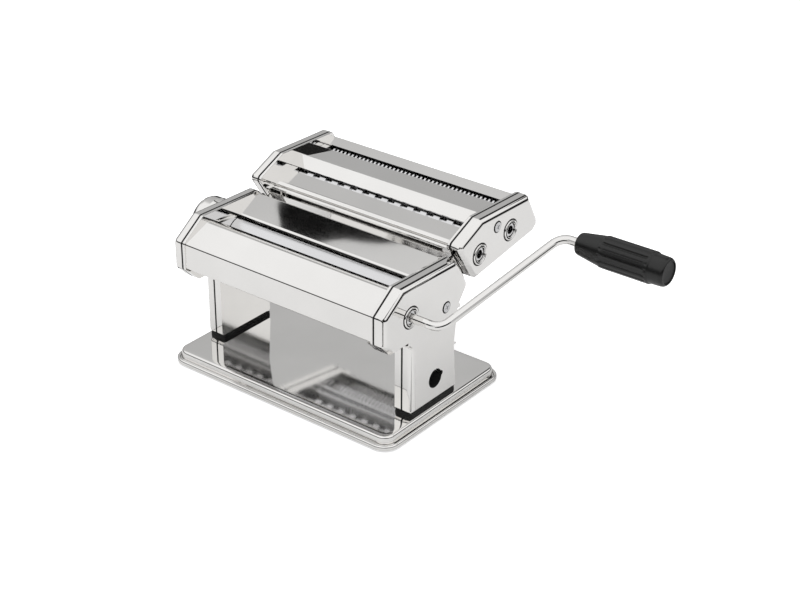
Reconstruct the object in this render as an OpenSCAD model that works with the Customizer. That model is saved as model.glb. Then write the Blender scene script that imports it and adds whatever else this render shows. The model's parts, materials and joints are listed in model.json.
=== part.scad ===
// Hand-cranked pasta machine: a smooth roller head on a stamped base, with a
// lift-off cutter unit behind it.
// +X runs along the rollers towards the crank, -Y is the front where the sheet
// comes out, +Z is up. The origin is the middle of the base on the table.

/* [Body] */
// Clear width between the side frames
throat_w = 180; // [150:1:220]
// Thickness of each side frame
frame_t = 6.5; // [5:0.1:8]
// Depth of each chromed end cap
cap_depth = 10.2; // [9.6:0.1:14]
// Wall of the end caps
cap_wall = 2; // [1.6:0.1:2.4]
// Radius on the outer edge of the end caps
cap_edge_r = 3; // [2.4:0.1:3.4]
// Dark shadow gap between a cap and its frame
joint_gap = 0.6; // [0.3:0.1:0.8]
// Depth of that shadow gap
joint_depth = 0.9; // [0.5:0.1:1.2]
// Height of the top edge of the side frames
head_top = 128; // [126:0.5:134]
// Underside of the overhanging head
jaw_z = 78; // [72:0.5:79]
// Front face of the head
nose_y = -71; // [-76:0.5:-69]
// Front edge of the legs
leg_front = -37; // [-40:0.5:-35]
// Rear edge of the legs at the base
leg_back = 21.5; // [20:0.5:28]
// Radius of the cut-out between jaw and leg
notch_r = 5; // [3:0.5:7]
// Thickness of the folded sheets
sheet_t = 1; // [0.8:0.1:1.2]
// Radius of the tie rods
tie_r = 3; // [2.6:0.1:3.4]

/* [Base] */
// Width of the base plate over its rim
base_w = 227; // [221:1:250]
// Depth of the base plate over its rim
base_d = 150; // [140:1:170]
// Height of the raised plateau
base_h = 9; // [8:0.5:12]
// Width of the step round the rim
rim_w = 3; // [2:0.5:5]
// Height of the rim above the table
rim_h = 5; // [4.5:0.5:6]
// Corner radius of the rim
base_r = 14; // [10:1:20]
// Sheet thickness of the base
base_t = 1.2; // [1:0.1:1.5]
// Gap between the rim and the table
base_lift = 1.5; // [1:0.1:2]
// Radius of the rubber feet
foot_r = 9; // [7:0.5:11]
// Thickness of the black pad under each leg
pad_h = 6; // [4:0.5:8]

/* [Rollers] */
// Radius of the two sheet rollers
roller_r = 13; // [12.5:0.1:13.2]
// Gap between the rollers at their closest
roller_gap = 0.5; // [0.4:0.1:0.8]
// Travel of the adjustable roller
gap_travel = 2; // [1.5:0.1:2.2]
// Height of the roller axes
axis_z = 101.7; // [100:0.1:103]
// Position of the driven roller's axis
drive_y = -39; // [-40:0.1:-38]
// Radius of the roller journals
journal_r = 6; // [5.6:0.1:6.2]
// Radial running clearance of the journals
run_fit = 0.05; // [0.03:0.01:0.08]
// Teeth on each roller gear
roller_teeth = 14; // [12:1:16]
// Face width of the roller gears
gear_w = 5.5; // [4:0.1:6]

/* [Crank] */
// Radius of the crank rod
rod_r = 3.5; // [3:0.1:3.8]
// How far the rod runs out before its first bend
crank_reach = 27; // [22:0.5:34]
// Swing radius of the crank
crank_r = 108.8; // [95:0.5:115]
// How far the arm leans outwards over its length
crank_lean = 38.4; // [25:0.2:50]
// Angle of the crank above the horizontal at rest
crank_angle = 26.7; // [0:0.1:60]
// Bend radius of the rod
bend_r = 12; // [9:0.5:16]
// Gap from the second bend to the grip
grip_gap = 16; // [14:0.5:22]
// Length of the grip
grip_l = 76; // [65:1:90]
// Radius of the grip over its ribs
grip_r = 12.4; // [11:0.1:14]
// Radius of the grip at its slim end
grip_neck_r = 8.8; // [8:0.1:10]
// Number of grooves round the grip
grip_grooves = 16; // [12:1:20]

/* [Thickness knob] */
// Radius of the knob
knob_r = 21.5; // [20:0.5:23]
// Length of the knob
knob_l = 22; // [20:0.5:26]
// Radius of the spindle
spindle_r = 4; // [3.6:0.1:4.4]
// How far the knob pulls out
knob_pull = 4; // [3:0.1:4.5]
// Turn of the knob from the first to the last setting
knob_sweep = 240; // [200:5:270]

/* [Cutter unit] */
// Clear width between the cutter frames
cutter_w = 176; // [146:1:216]
// Thickness of each cutter frame
cutter_frame_t = 9.2; // [8:0.1:10]
// Radius of the cutting rollers
cutter_r = 10; // [9.6:0.1:10]
// How deep the lands of a pair run into each other
cutter_overlap = 1.2; // [1:0.1:1.4]
// Depth of the cutting grooves
groove_depth = 1.9; // [1.7:0.1:2.2]
// Pitch of the wide cutting lands
wide_pitch = 13; // [10:0.5:16]
// Pitch of the narrow cutting lands
narrow_pitch = 4; // [3.6:0.1:5]
// Side clearance of the lands in their grooves
land_clear = 0.3; // [0.25:0.05:0.35]
// Teeth on each cutter gear
cutter_teeth = 12; // [11:1:13]
// Radius of the chromed socket rings
ring_r = 8; // [7.6:0.1:8.4]

/* [Hidden] */

eps = 0.01;
fine = 48;
gap = 0.3;              // clearance between bodies that slide past each other
seat = 0.02;            // room under a sheet that lies on its frame
rim_t = 2.8;            // thin rim of a frame beside the sheets
chrome = [0.80, 0.80, 0.82];
steel = [0.62, 0.63, 0.65];
black = [0.10, 0.10, 0.11];
bronze = [0.70, 0.55, 0.32];

// Body planes along X
inner_x = throat_w / 2;
joint_x = inner_x + frame_t;
face_x = joint_x + cap_depth;
inside_x = face_x - cap_wall;

// Roller positions
adjust_y = drive_y + 2 * roller_r + roller_gap;
roller_end = inner_x - 0.5;

// Base levels
leg_z = base_h + pad_h;
bush_r = journal_r + 2.5;

// Outline of the body ends in the YZ plane, seen from the crank side
top_front = [-48.5, head_top];
brow = [nose_y, head_top - 16];
chin = [nose_y, jaw_z + 11];
jaw_front = [nose_y + 10.5, jaw_z];
bulge = [33.5, 100.7];
shoulder_out = [26.2, 114.8];
top_back = [17.5, head_top - 1.8];
neck = [22.3, 86];
waist = [18.3, 55];
body_points = [top_front, brow, chin, jaw_front, [leg_front, jaw_z], [leg_front, leg_z],
    [leg_back, leg_z], waist, neck, bulge, shoulder_out, top_back];

// Direction in which the cutter unit lifts off, and the two slanted edges
lift_angle = 122.5;
lift_dir = [cos(lift_angle), sin(lift_angle)];
cutter_foot = bulge + [5, 2.8];
cutter_nose = cutter_foot + 35.5 * lift_dir;
cutter_shape = [[0, 0], [5.3, -2.6], [80, 8.4], [85.8, 13.5], [86.1, 19.1], [73, 43.3], [9.6, 45.1]];
cutter_points = concat([for (q = cutter_shape) cutter_foot + q], [cutter_nose + [2.2, 3.4], cutter_nose]);
cutter_inner = cutter_w / 2;
cutter_joint = cutter_inner + cutter_frame_t;
cutter_face = cutter_joint + cap_depth;
cutter_inside = cutter_face - cap_wall;
tongue_x = inner_x + frame_t / 2;
tongue_t = 2.4;
tongue_in = 5;          // how far the tongue enters the body's groove
tongue_l = 17;
groove_foot = bulge + 3.2 * lift_dir;

// Cutting rollers: each pair leans with the underside of the unit
pair_tilt = 7.6;
pair_dir = [cos(pair_tilt), sin(pair_tilt)];
pair_step = 2 * cutter_r - cutter_overlap;
wide_at = cutter_foot + [7, 17.4];
narrow_at = wide_at + [40.4, 5.4];
wide_mate_at = wide_at + pair_step * pair_dir;
narrow_mate_at = narrow_at + pair_step * pair_dir;
cutter_journal = 5;
cutter_end = cutter_inner - 0.5;

// Sheet paths in the YZ plane, outer surface
front_lip = [[-34, 118.2], [-47.5, head_top - 4.3], [nose_y + 1, brow[1] - 0.5],
    [nose_y + 0.6, chin[1] + 0.6], [nose_y + 8, chin[1] - 1.4]];
rear_path = [[-13.5, 116.4], [-12.5, 118.5], [15.5, head_top - 2.6], [24.3, 114.3],
    [31.3, 100.7], [20.3, 86.5], [19, 80]];
rail = wide_at + [-14, 10.1];
slot1_front = wide_at + [5.5, 13.4];
slot1_back = slot1_front + [8, 0.5];
ridge = slot1_back + [7.5, 8.4];
slot2_front = narrow_at + [7.1, 14];
slot2_back = slot2_front + [8, 0.3];
deck_back = slot2_back + [11, 2.8];
front_deck = [slot1_front, rail + [2, 0.4], rail + [-0.8, -1.2], rail + [0.2, -3.6]];
front_apron = [rail + [0.2, -3.6], rail + [-1.4, -5], rail + [0.2, -7.4], rail + [1.2, -12], rail + [6, -20]];
middle_deck = [slot1_back, ridge, slot2_front];
rear_deck = [slot2_back, deck_back, deck_back + [9.6, -20.5], deck_back + [9, -26.4]];

// Blades against the undersides of the two rollers
front_blade = [for (q = [[-20, -18.2], [-13, -17.2], [-7.4, -11.8]]) [drive_y, axis_z] + q];
rear_blade = [for (q = [[27.5, -17.7], [17.5, -17.2], [10, -11.5]]) [adjust_y, axis_z] + q];
blade_t = 0.8;

// Fasteners and sockets
right_screw = [4.7, 91.8];
left_screw = [4, 60];
front_tie = [-60, 97];
cutter_screw = wide_mate_at + [3.9, 12.3];
cutter_tie = wide_mate_at + [9.9, -10.9];
cutter_tie_r = 2.6;
clamp_at = [-8, 35.3];
clamp_r = 8;
screw_r = 1.6;
head_r = 4.4;
tap_depth = 6;
base_screw_y = [-27, 11];

// ---- shared shapes -------------------------------------------------------

// Carries a YZ outline into a slab from x0 to x1
module yz(x0, x1) translate([x0, 0, 0]) rotate([90, 0, 90]) linear_extrude(x1 - x0) children();

// Round bar along X about the YZ point p
module bar(p, x0, x1, r) translate([x0, p[0], p[1]]) rotate([0, 90, 0]) cylinder(h = x1 - x0, r = r, $fn = fine);

// Ring along X about the YZ point p
module tube(p, x0, x1, r_out, r_in) difference() {
    bar(p, x0, x1, r_out);
    bar(p, x0 - 1, x1 + 1, r_in);
}

module both_ends() {
    children();
    mirror([1, 0, 0]) children();
}

function unit(v) = v / norm(v);
function reversed(p) = [for (i = [len(p) - 1:-1:0]) p[i]];
function left_of(v) = [-v[1], v[0]];
function side_step(p, i) = let (a = i > 0 ? left_of(unit(p[i] - p[i - 1])) : left_of(unit(p[1] - p[0])),
    b = i < len(p) - 1 ? left_of(unit(p[i + 1] - p[i])) : a) (a + b) / (1 + a * b);
// Closed outline of a sheet folded along the points p, t thick on its left
function folded(p, t) = concat(p, reversed([for (i = [0:len(p) - 1]) p[i] + t * side_step(p, i)]));

module sheet(p, x_half, t) yz(-x_half, x_half) polygon(folded(p, t));
module sheet_ends(p, x0, x1, t) both_ends() yz(x0 - eps, x1) polygon(folded(p, t));
// Points on the inner side of a sheet, with a little room for it to seat
function inner_side(p, t) = [for (i = [0:len(p) - 1]) p[i] + (t + sign(t) * seat) * side_step(p, i)];

module body_outline() offset(r = -notch_r, $fn = fine) offset(delta = notch_r) polygon(body_points);
module cutter_outline() polygon(cutter_points);

// Side frame blank with softened corners
module frame_blank(x0, x1) yz(x0, x1) offset(r = cap_edge_r, $fn = 24) offset(delta = -cap_edge_r) children();

// Pressed cap: softened corners, hollow inside, with a recessed joint line
module cap_shell(x0, x1, points) difference() {
    union() {
        frame_blank(x0 + joint_gap, x1) children();
        yz(x0, x0 + joint_gap + 1) offset(delta = -joint_depth) children();
    }
    yz(x0 - 1, x1 - cap_wall) offset(delta = -cap_wall) children();
    edge_bevel(points, x1, cap_edge_r);
}

// How far the bevel along an edge runs past its corner: outwards it overruns,
// in a hollow corner it stops where the fillet begins
function corner_run(p, i, c) = let (n = len(p), a = unit(p[i] - p[(i + n - 1) % n]), b = unit(p[(i + 1) % n] - p[i]),
    bend = cross(a, b)) bend > 0 ? c + 1 : notch_r * bend / (1 + a * b);

// Bevel c wide round an outline, anticlockwise seen from +X, whose slab ends at x
module edge_bevel(p, x, c) for (i = [0:len(p) - 1]) {
    next = (i + 1) % len(p);
    edge = p[next] - p[i];
    before = corner_run(p, i, c);
    after = corner_run(p, next, c);
    translate([x, p[i][0], p[i][1]]) rotate([atan2(edge[1], edge[0]), 0, 0]) translate([0, norm(edge) + after, 0])
        rotate([90, 0, 0]) linear_extrude(norm(edge) + before + after) polygon([[-c - 1, -1], [1, c + 1], [1, -1]]);
}

// Involute gear outline: teeth, pitch radius, depth share of the module
function involute(rb, a) = rb * [cos(a) + a * PI / 180 * sin(a), sin(a) - a * PI / 180 * cos(a)];
function turn(p, a) = [p[0] * cos(a) - p[1] * sin(a), p[0] * sin(a) + p[1] * cos(a)];
module gear(p, x0, x1, teeth, pitch_r, bore, phase) {
    m = 2 * pitch_r / teeth;
    rb = pitch_r * cos(20);
    tip = pitch_r + 0.9 * m;
    root = pitch_r - 1.2 * m;
    roll = function (r) r > rb ? sqrt(r * r / (rb * rb) - 1) * 180 / PI : 0;
    at_pitch = roll(pitch_r);
    flank = [for (k = [0:4]) involute(rb, roll(max(rb, root)) + (roll(tip) - roll(max(rb, root))) * k / 4)];
    pitch_angle = atan2(involute(rb, at_pitch)[1], involute(rb, at_pitch)[0]);
    half = 360 / teeth / 4 * 0.92;
    tooth = concat([[root * cos(half * 1.5), -root * sin(half * 1.5)]],
        [for (q = flank) turn(q, -half - pitch_angle)],
        [for (k = [4:-1:0]) turn([flank[k][0], -flank[k][1]], half + pitch_angle)],
        [[root * cos(half * 1.5), root * sin(half * 1.5)]]);
    translate([x0, p[0], p[1]]) rotate([90, 0, 90]) difference() {
        linear_extrude(x1 - x0) polygon([for (i = [0:teeth - 1]) for (q = tooth) turn(q, phase + i * 360 / teeth)]);
        translate([0, 0, -1]) cylinder(h = x1 - x0 + 2, r = bore, $fn = fine);
    }
}

// Raised screw head with a cross recess, its shank running inwards
module screw_x(p, x_face, x_tip) {
    difference() {
        union() {
            bar(p, x_face - 0.6, x_face + 0.6, head_r - 0.4);
            bar(p, x_tip, x_face, screw_r);
        }
        for (a = [20, 110]) translate([x_face, p[0], p[1]]) rotate([a, 0, 0])
            translate([0, -2.2, -0.4]) cube([2, 4.4, 0.8]);
    }
}

module rounded_rect(w, d, r) {
    square([w - 2 * r, d], center = true);
    square([w, d - 2 * r], center = true);
    for (x = [-1, 1], y = [-1, 1]) translate([x * (w / 2 - r), y * (d / 2 - r)]) circle(r, $fn = fine);
}

module plate(w, d, r, z0, z1) translate([0, 0, z0]) linear_extrude(z1 - z0) rounded_rect(w, d, r);

// ---- base ----------------------------------------------------------------

foot_at = [base_w / 2 - 22, base_d / 2 - 20];

module base_plate() color(chrome) difference() {
    union() {
        plate(base_w, base_d, base_r, base_lift, rim_h);
        plate(base_w - 2 * rim_w, base_d - 2 * rim_w, base_r - rim_w, rim_h - eps, base_h);
    }
    plate(base_w - 2 * base_t, base_d - 2 * base_t, base_r - base_t, base_lift - 1, rim_h - base_t);
    plate(base_w - 2 * (rim_w + base_t), base_d - 2 * (rim_w + base_t), base_r - rim_w - base_t,
        base_lift - 1, base_h - base_t);
    for (x = [-1, 1], y = base_screw_y) translate([x * (inner_x + frame_t / 2), y, 0])
        cylinder(h = base_h + 1, r = screw_r + 0.4, $fn = 24);
}

module rubber_feet() color(black) for (x = [-1, 1], y = [-1, 1]) translate([x * foot_at[0], y * foot_at[1], 0])
    cylinder(h = base_h - base_t, r1 = foot_r - 1, r2 = foot_r, $fn = fine);

module leg_pads() color(black) both_ends() difference() {
    translate([inner_x - 1.5, leg_front + 1.2, base_h])
        cube([face_x - 1.6 - (inner_x - 1.5), leg_back - leg_front - 2.2, pad_h]);
    for (y = base_screw_y) translate([inner_x + frame_t / 2, y, base_h - 1])
        cylinder(h = pad_h + 2, r = screw_r + 0.4, $fn = 24);
}

module base_screws() color(steel) for (x = [-1, 1], y = base_screw_y) translate([x * (inner_x + frame_t / 2), y, 0]) {
    translate([0, 0, base_h - base_t - 2.4]) cylinder(h = 2.4, r = 3.4, $fn = 6);
    translate([0, 0, base_h - base_t - 1]) cylinder(h = pad_h + base_t + 1 + tap_depth, r = screw_r, $fn = 24);
}

// ---- side frames and caps --------------------------------------------------

// What stays of a frame inside the sheets: the sheets lie on it, behind a thin rim
hopper_plate = [rear_path[0], rear_path[1], rear_path[2]];
rim_x = joint_x - rim_t;
far = 200;
body_core = concat([[far, -far], [far, hopper_plate[2][1] - 12]], [inner_side(hopper_plate, -sheet_t)[2],
    inner_side(hopper_plate, -sheet_t)[1], inner_side(hopper_plate, -sheet_t)[0]],
    inner_side(front_lip, sheet_t), [[-far, front_lip[4][1] - sheet_t], [-far, -far]]);
cutter_rim = cutter_joint - rim_t;
cutter_core = concat([[far, -far], [far, rear_deck[3][1]]], reversed(inner_side(rear_deck, -sheet_t)),
    reversed(inner_side(middle_deck, -sheet_t)), inner_side(front_deck, sheet_t), [[-far, front_deck[3][1] - sheet_t], [-far, -far]]);
module rebate(x0, x1, core) yz(x0 - 1, x1) difference() {
    translate([-far / 2, 0]) square([1.5 * far, far]);
    polygon(core);
}

scroll_start = 9;       // radius of the scroll groove at the closest setting
follower_r = 2;
slide_w = 2 * (scroll_start + follower_r + 0.2);
slide_h = 18;
slot_front = adjust_y - slide_w / 2 - gap;

// Slot in which a bearing slide carries the adjustable roller
module slide_slot() translate([slot_front, axis_z - slide_h / 2 - gap])
    square([slide_w + 2 * gap + gap_travel, slide_h + 2 * gap]);

// Groove along the rear slant that takes the cutter unit's tongue, open at the top
module tongue_way() yz(tongue_x - tongue_t / 2 - gap, tongue_x + tongue_t / 2 + gap)
    translate(groove_foot) rotate(lift_angle) translate([0, -12]) square([60, tongue_in + 12 + gap]);

module side_frame(tie_points, clamp) difference() {
    frame_blank(inner_x, joint_x) body_outline();
    rebate(inner_x, rim_x, body_core);
    yz(inner_x - 1, joint_x + 1) slide_slot();
    bar([drive_y, axis_z], inner_x - 1, joint_x + 1, bush_r);
    for (p = tie_points) bar(p, inner_x - 1, joint_x + 1, tie_r);
    tongue_way();
    for (y = base_screw_y) translate([inner_x + frame_t / 2, y, leg_z - 1])
        cylinder(h = tap_depth + 2, r = screw_r + run_fit, $fn = 24);
    if (clamp) clamp_hole(inner_x - 1, joint_x + 1);
    else bar(left_screw, inner_x - 1, joint_x + 1, screw_r + run_fit);
}

// Keyhole for the table clamp's rod
module clamp_hole(x0, x1) {
    bar(clamp_at, x0, x1, clamp_r);
    bar(clamp_at + [clamp_r - 0.6, 1.5], x0, x1, 2.2);
}

module right_side_frame() color(chrome) side_frame([right_screw, front_tie], true);
module left_side_frame() color(chrome) mirror([1, 0, 0]) side_frame([right_screw, front_tie], false);

module right_end_cap() color(chrome) difference() {
    union() {
        cap_shell(joint_x, face_x, body_points) body_outline();
        bar(clamp_at, joint_x, inside_x + eps, clamp_r + 3.4);
        tube(right_screw, joint_x + 0.2, inside_x + eps, 3.2, screw_r + 0.3);
    }
    bar([drive_y, axis_z], inside_x - 1, face_x + 1, ring_spigot_r + run_fit);
    bar(right_screw, joint_x - 1, face_x + 1, screw_r + 0.3);
    bar(right_screw, face_x - 0.6, face_x + 1, head_r);
    clamp_hole(joint_x - 1, face_x + 1);
}

module left_end_cap() color(chrome) mirror([1, 0, 0]) difference() {
    union() {
        cap_shell(joint_x, face_x, body_points) body_outline();
        tube(left_screw, joint_x + 0.2, inside_x + eps, 3.2, screw_r + 0.3);
    }
    bar([adjust_y, axis_z], inside_x - 1, face_x + 1, spindle_r + run_fit);
    bar(left_screw, joint_x - 1, face_x + 1, screw_r + 0.3);
    bar(left_screw, face_x - 0.6, face_x + 1, head_r);
    tube([adjust_y, axis_z], face_x - 1.2, face_x + 1, pin_at + pin_r + gap, pin_at - pin_r - gap);
}

module tie_rods() color(steel) for (p = [right_screw, front_tie]) difference() {
    bar(p, -joint_x, joint_x, tie_r);
    both_ends() bar(p, joint_x - tap_depth - 1, joint_x + 1, screw_r + run_fit);
}

module cap_screws() color(steel) {
    screw_x(right_screw, face_x, joint_x - tap_depth);
    mirror([1, 0, 0]) screw_x(left_screw, face_x, joint_x - tap_depth + 1);
}

module front_cover() color(chrome) sheet(front_lip, rim_x, sheet_t);
module rear_cover() color(chrome) difference() {
    union() {
        sheet(rear_path, inner_x, -sheet_t);
        sheet_ends(hopper_plate, inner_x, rim_x, -sheet_t);
    }
    both_ends() tongue_way();
}

// Thin blades that strip the sheet off the rollers
module front_scraper() color(steel) sheet(front_blade, inner_x, -blade_t);
module rear_scraper() color(steel) sheet(rear_blade, inner_x, blade_t);

module drive_bushes() color(bronze) both_ends()
    tube([drive_y, axis_z], inner_x, joint_x, bush_r, journal_r + run_fit);

// ---- driven roller, its socket and the crank -------------------------------

ring_spigot_r = ring_r - 1;
socket_r = rod_r + run_fit;
nose_r = socket_r + 1.5;
shaft_nose = face_x - 0.4;
socket_depth = 22;

module drive_roller() color(steel) difference() {
    union() {
        bar([drive_y, axis_z], -roller_end, roller_end, roller_r);
        bar([drive_y, axis_z], -joint_x + gap, -roller_end + eps, journal_r);
        bar([drive_y, axis_z], roller_end - eps, inside_x - gap, journal_r);
        bar([drive_y, axis_z], inside_x - gap - eps, shaft_nose, nose_r);
    }
    bar([drive_y, axis_z], shaft_nose - socket_depth, shaft_nose + 1, socket_r);
}

module drive_gear() color(steel)
    gear([drive_y, axis_z], joint_x + 0.6, joint_x + 0.6 + gear_w, roller_teeth,
        (adjust_y - drive_y) / 2, journal_r + 0.02, 0);

module crank_socket_ring() color(chrome) socket_ring([drive_y, axis_z], face_x);

module socket_ring(p, x) {
    tube(p, x, x + 1.2, ring_r, nose_r + 0.6);
    tube(p, x - cap_wall + 0.2, x + eps, ring_spigot_r, nose_r + 0.6);
}

// The bent rod lies in one plane through the roller axis
bend_angle = atan2(crank_r, crank_lean);
bend_cut = bend_r * tan(bend_angle / 2);
bend_1 = face_x + crank_reach;
bend_2 = bend_1 + crank_lean;
grip_x = bend_2 + grip_gap;

module in_crank_plane() translate([0, drive_y, axis_z]) rotate([crank_angle, 0, 0]) children();

// Centre line of the rod in its own plane: X outwards, Y along the arm
function arc_points(c, r, a0, a1, n) = [for (i = [0:n]) let (a = a0 + (a1 - a0) * i / n) c + r * [cos(a), sin(a)]];
rod_path = concat([[shaft_nose - socket_depth + 1, 0]],
    arc_points([bend_1 - bend_cut, bend_r], bend_r, -90, bend_angle - 90, 10),
    arc_points([bend_2 + bend_cut, crank_r - bend_r], bend_r, bend_angle + 90, 90, 10),
    [[grip_x + grip_l - 9, crank_r]]);
rod_sides = 24;

// Round rod swept along a path in the XY plane, mitred at each point
module bent_rod(path, r) {
    n = len(path);
    points = [for (i = [0:n - 1], k = [0:rod_sides - 1]) let (a = k * 360 / rod_sides, m = r * cos(a) * side_step(path, i))
        [path[i][0] + m[0], path[i][1] + m[1], r * sin(a)]];
    walls = [for (i = [0:n - 2], k = [0:rod_sides - 1]) let (j = (k + 1) % rod_sides)
        [i * rod_sides + j, i * rod_sides + k, (i + 1) * rod_sides + k, (i + 1) * rod_sides + j]];
    polyhedron(points, concat(walls, [[for (k = [0:rod_sides - 1]) k],
        [for (k = [rod_sides - 1:-1:0]) (n - 1) * rod_sides + k]]));
}

module crank_rod() color(chrome) in_crank_plane() bent_rod(rod_path, rod_r);

// Moulded grip: slim cone, ribbed waist and a plain end collar
module crank_grip() color(black) in_crank_plane() translate([grip_x, crank_r, 0]) difference() {
    rotate([0, 90, 0]) rotate_extrude($fn = fine) polygon([[0, 0], [grip_neck_r - 1.2, 0], [grip_neck_r, 1.6],
        [grip_r - 0.6, grip_l * 0.28], [grip_r, grip_l * 0.30], [grip_r, grip_l * 0.74],
        [grip_r - 0.9, grip_l * 0.76], [grip_r - 1.1, grip_l - 1.6], [grip_r - 2.4, grip_l], [0, grip_l]]);
    translate([-1, 0, 0]) rotate([0, 90, 0]) cylinder(h = grip_l + 2, r = rod_r + run_fit, $fn = fine);
    translate([grip_l - 8, 0, 0]) rotate([0, 90, 0]) cylinder(h = 9, r = grip_r - 3.2, $fn = fine);
    for (i = [0:grip_grooves - 1]) rotate([i * 360 / grip_grooves, 0, 0])
        translate([grip_l * 0.27, 0, grip_r + 0.25]) rotate([0, 90, 0]) cylinder(h = grip_l * 0.475, r = 0.9, $fn = 24);
}

module grip_end_plug() color(black) in_crank_plane() translate([grip_x + grip_l - 6, crank_r, 0])
    rotate([0, 90, 0]) cylinder(h = 5.2, r = grip_r - 3.2, $fn = fine);

// ---- adjustable roller and its knob ----------------------------------------

scroll_r = scroll_start + gap_travel + follower_r + 3;
pin_at = 15;
pin_r = 1.5;

module slide_block() difference() {
    translate([inner_x + 0.2, adjust_y - slide_w / 2, axis_z - slide_h / 2])
        cube([frame_t - 0.4, slide_w, slide_h]);
    bar([adjust_y, axis_z], inner_x - 1, joint_x + 1, journal_r + run_fit);
}

module right_bearing_slide() color(bronze) slide_block();
module left_bearing_slide() color(bronze) mirror([1, 0, 0]) {
    slide_block();
    bar([adjust_y + scroll_start, axis_z], joint_x - 1, joint_x + 3.4, follower_r);
}

module adjustable_roller() color(steel) {
    bar([adjust_y, axis_z], -roller_end, roller_end, roller_r);
    bar([adjust_y, axis_z], -joint_x + 0.3, -roller_end + eps, journal_r);
    bar([adjust_y, axis_z], roller_end - eps, joint_x + gear_w + 1.2, journal_r);
}

module driven_gear() color(steel)
    gear([adjust_y, axis_z], joint_x + 0.6, joint_x + 0.6 + gear_w, roller_teeth,
        (adjust_y - drive_y) / 2, journal_r + 0.02, 180 + 180 / roller_teeth);

// Spiral path of the follower seen from the disc, turn a in degrees
function spiral(a, off) = (scroll_start + gap_travel * a / knob_sweep + off) * [cos(a), sin(a)];
function round_end(a, from, r) = [for (t = [20:20:160]) spiral(a, 0) + r * [cos(a + from + t), sin(a + from + t)]];

// Disc with a spiral groove that pushes the follower out as the knob turns
module adjusting_scroll() color(steel) mirror([1, 0, 0]) translate([0, adjust_y, axis_z]) {
    difference() {
        bar([0, 0], joint_x + 1, joint_x + 4.2, scroll_r);
        yz(joint_x, joint_x + 3.8) {
            w = follower_r + gap;
            polygon(concat([for (a = [0:12:knob_sweep]) spiral(a, w)], round_end(knob_sweep, 0, w),
                [for (a = [knob_sweep:-12:0]) spiral(a, -w)], round_end(0, 180, w)));
        }
    }
    bar([0, 0], joint_x + 4.2 - eps, face_x + knob_l - 2.5, spindle_r);
    bar([0, 0], face_x + knob_l - 4.5, face_x + knob_l - 2.5, spindle_r + 2.6);
}

knob_bore = spindle_r + run_fit;
knob_gap = 1.5;         // gap between the knob and the cap
spring_r = spindle_r + 1.7;
wire_r = 0.45;
spring_turns = 3;
well_r = spindle_r + 3.4;
well_x = face_x + 7;

module thickness_knob() color(chrome) mirror([1, 0, 0]) translate([0, adjust_y, axis_z]) difference() {
    translate([face_x + knob_gap, 0, 0]) rotate([0, 90, 0]) rotate_extrude($fn = 64) polygon(concat(
        [[0, 0], [knob_r - 3, 0], [knob_r - 0.8, 2.4], [knob_r, 6]],
        [for (a = [0:10:80]) [knob_r - 10 * (1 - cos(a)), knob_l - knob_gap - 8 + 8 * sin(a)]],
        [[0, knob_l - knob_gap]]));
    bar([0, 0], face_x, well_x + 1, knob_bore);
    bar([0, 0], well_x, face_x + knob_l - 2, well_r);
    bar([pin_at, 0], face_x, face_x + 5.5, pin_r);
}

// Pin that rides in the track on the cap
module index_pin() color(steel) mirror([1, 0, 0]) bar([adjust_y + pin_at, axis_z], face_x - 0.8, face_x + 5.5, pin_r);

spring_in = well_x + knob_pull + wire_r + 0.2;
spring_out = face_x + knob_l - 4.5 - wire_r - 0.2;
function coil(t) = [-spring_in - t * (spring_out - spring_in),
    spring_r * cos(t * spring_turns * 360), spring_r * sin(t * spring_turns * 360)];

// Compression spring round the spindle, swept ring by ring
module knob_spring() color(steel) translate([0, adjust_y, axis_z]) {
    rings = spring_turns * 14;
    sides = 8;
    points = [for (i = [0:rings], k = [0:sides - 1])
        let (c = coil(i / rings), out = unit([0, c[1], c[2]]), a = k * 360 / sides)
        c + wire_r * (cos(a) * out + sin(a) * [1, 0, 0])];
    walls = [for (i = [0:rings - 1], k = [0:sides - 1])
        let (n = (k + 1) % sides) [i * sides + k, i * sides + n, (i + 1) * sides + n, (i + 1) * sides + k]];
    polyhedron(points, concat(walls, [[for (k = [sides - 1:-1:0]) k], [for (k = [0:sides - 1]) rings * sides + k]]));
}

// ---- cutter unit -----------------------------------------------------------

cutter_axes = [wide_at, wide_mate_at, narrow_at, narrow_mate_at];
cutter_bush_r = cutter_journal + 1.8;

// Tongue that slides down into the body's groove
module tongue() translate(groove_foot + gap * lift_dir) rotate(lift_angle)
    translate([0, -14]) square([tongue_l, 14 + tongue_in - gap]);

module cutter_frame() difference() {
    union() {
        difference() {
            frame_blank(cutter_inner, cutter_joint) cutter_outline();
            rebate(cutter_inner, cutter_rim, cutter_core);
        }
        yz(tongue_x - tongue_t / 2, tongue_x + tongue_t / 2) tongue();
    }
    for (p = cutter_axes) bar(p, cutter_inner - 1, cutter_joint + 1, cutter_bush_r);
    for (p = [cutter_screw, cutter_tie]) bar(p, cutter_inner - 1, cutter_joint + 1, cutter_tie_r);
}

module cutter_right_frame() color(chrome) cutter_frame();
module cutter_left_frame() color(chrome) mirror([1, 0, 0]) cutter_frame();

module cutter_cap(sockets, screw) difference() {
    union() {
        cap_shell(cutter_joint, cutter_face, cutter_points) cutter_outline();
        tube(screw, cutter_joint + 0.2, cutter_inside + eps, 2.6, screw_r + 0.3);
    }
    for (p = sockets) bar(p, cutter_inside - 1, cutter_face + 1, ring_spigot_r + run_fit);
    bar(screw, cutter_joint - 1, cutter_face + 1, screw_r + 0.3);
    bar(screw, cutter_face - 0.6, cutter_face + 1, head_r);
}

module cutter_right_cap() color(chrome) cutter_cap([wide_at, narrow_at], cutter_screw);
module cutter_left_cap() color(chrome) mirror([1, 0, 0]) cutter_cap([], cutter_tie);

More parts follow.
